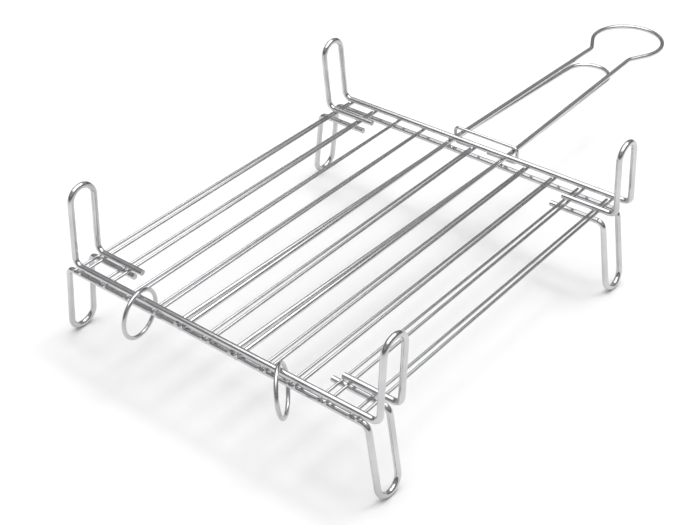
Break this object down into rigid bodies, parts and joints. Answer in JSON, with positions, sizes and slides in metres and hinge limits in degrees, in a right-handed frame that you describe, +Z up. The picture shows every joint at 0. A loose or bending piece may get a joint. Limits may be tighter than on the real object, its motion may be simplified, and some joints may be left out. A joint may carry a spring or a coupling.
{
  "type": "hinged barbecue grill basket",
  "caption": "Hinged double barbecue grill basket of bright plated wire, with leg loops above and below, long handles, hinge rings and a sliding clasp.",
  "frame": {"origin": "middle of the whole object's footprint, on the surface it stands on", "axes": "+Z up, +Y from the hinge side towards the handles, +X to the right seen from the hinge side"},
  "size_m": [0.3912, 0.7855, 0.1773],
  "materials": {
    "frame_wire": "bright plated 6 mm wire",
    "grill_wire": "bright plated 3 mm wire, slightly duller",
    "handle_wire": "bright plated 5 mm wire",
    "ring_wire": "bright plated 4 mm wire, cut ends",
    "clasp_wire": "bright plated 3.5 mm wire"
  },
  "bodies": {
    "base": {"lower_front_crossbar": "frame_wire", "lower_rear_crossbar": "frame_wire", "lower_bar_1": "grill_wire", "lower_bar_2": "grill_wire", "lower_bar_3": "grill_wire", "lower_bar_4": "grill_wire", "lower_bar_5": "grill_wire", "lower_bar_6": "grill_wire", "lower_bar_7": "grill_wire", "lower_bar_8": "grill_wire", "lower_bar_9": "grill_wire", "lower_handle": "handle_wire"},
    "lid": {"upper_front_crossbar": "frame_wire", "upper_rear_crossbar": "frame_wire", "upper_bar_1": "grill_wire", "upper_bar_2": "grill_wire", "upper_bar_3": "grill_wire", "upper_bar_4": "grill_wire", "upper_bar_5": "grill_wire", "upper_bar_6": "grill_wire", "upper_bar_7": "grill_wire", "upper_bar_8": "grill_wire", "upper_bar_9": "grill_wire", "upper_handle": "handle_wire"},
    "ring_left": {"hinge_ring_left": "ring_wire"},
    "ring_right": {"hinge_ring_right": "ring_wire"},
    "clasp": {"handle_clasp": "clasp_wire"}
  },
  "joints": [
    {"name": "lid_hinge", "type": "hinge", "parent": "base", "child": "lid", "pos_m": [0, -0.36941, 0.08797], "axis": [1, 0, 0], "range_deg": [0, 179.4]},
    {"name": "ring_left_turn", "type": "hinge", "parent": "base", "child": "ring_left", "pos_m": [-0.08123, -0.36756, 0.07753], "axis": [0.9863, 0.1562, -0.0523], "continuous": true},
    {"name": "ring_right_turn", "type": "hinge", "parent": "base", "child": "ring_right", "pos_m": [0.09137, -0.36866, 0.07753], "axis": [0.8324, 0.5406, 0.1219], "continuous": true},
    {"name": "clasp_slide", "type": "slide", "parent": "lid", "child": "clasp", "axis": [0, 0.9999, 0.0105], "range_m": [0, 0.238]}
  ]
}
